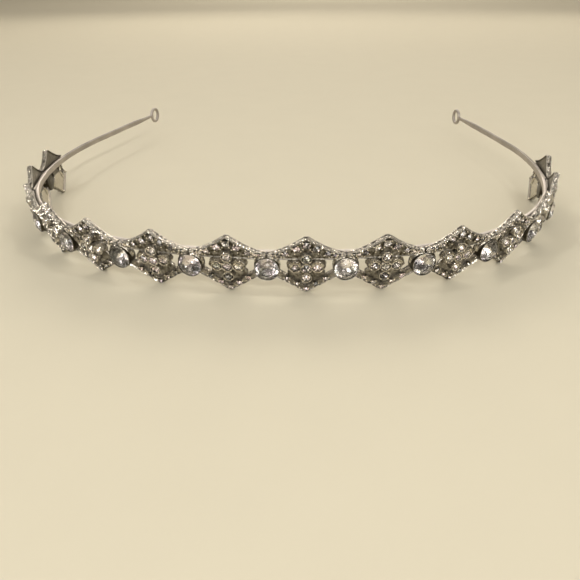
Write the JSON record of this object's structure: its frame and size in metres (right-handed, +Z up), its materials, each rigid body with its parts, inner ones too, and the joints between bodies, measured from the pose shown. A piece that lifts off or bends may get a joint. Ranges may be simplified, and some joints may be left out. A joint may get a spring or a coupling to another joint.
{
  "type": "headband tiara",
  "caption": "Silver-tone headband tiara: a horseshoe band with end loops, openwork plaques with a pointed top edge, set stones, and large round clear stones in cups between them.",
  "frame": {"origin": "middle of the bounding box's base; the plaques' lowest points stand on Z = 0, as it lies on a table", "axes": "+Z up; -Y the front of the head, with the plaques; the arms reach towards +Y; +X the right-hand arm seen from the front"},
  "size_m": [0.1392, 0.1266, 0.0127],
  "materials": {
    "silver_metal": "antiqued silver-tone cast metal, bright on the edges and dark in the recesses",
    "clear_stone": "clear faceted glass with a foil back",
    "smoky_stone": "pale smoky faceted glass with a foil back"
  },
  "bodies": {
    "root": {"frame": "silver_metal", "chaton_01": "clear_stone", "chaton_02": "clear_stone", "chaton_03": "clear_stone", "chaton_04": "clear_stone", "chaton_05": "clear_stone", "chaton_06": "clear_stone", "chaton_07": "clear_stone", "chaton_08": "clear_stone", "chaton_09": "clear_stone", "chaton_10": "clear_stone", "chaton_11": "clear_stone", "chaton_12": "clear_stone", "chaton_13": "clear_stone", "flower_stones": "smoky_stone", "roof_stones": "smoky_stone", "chevron_stones": "smoky_stone"}
  },
  "joints": []
}
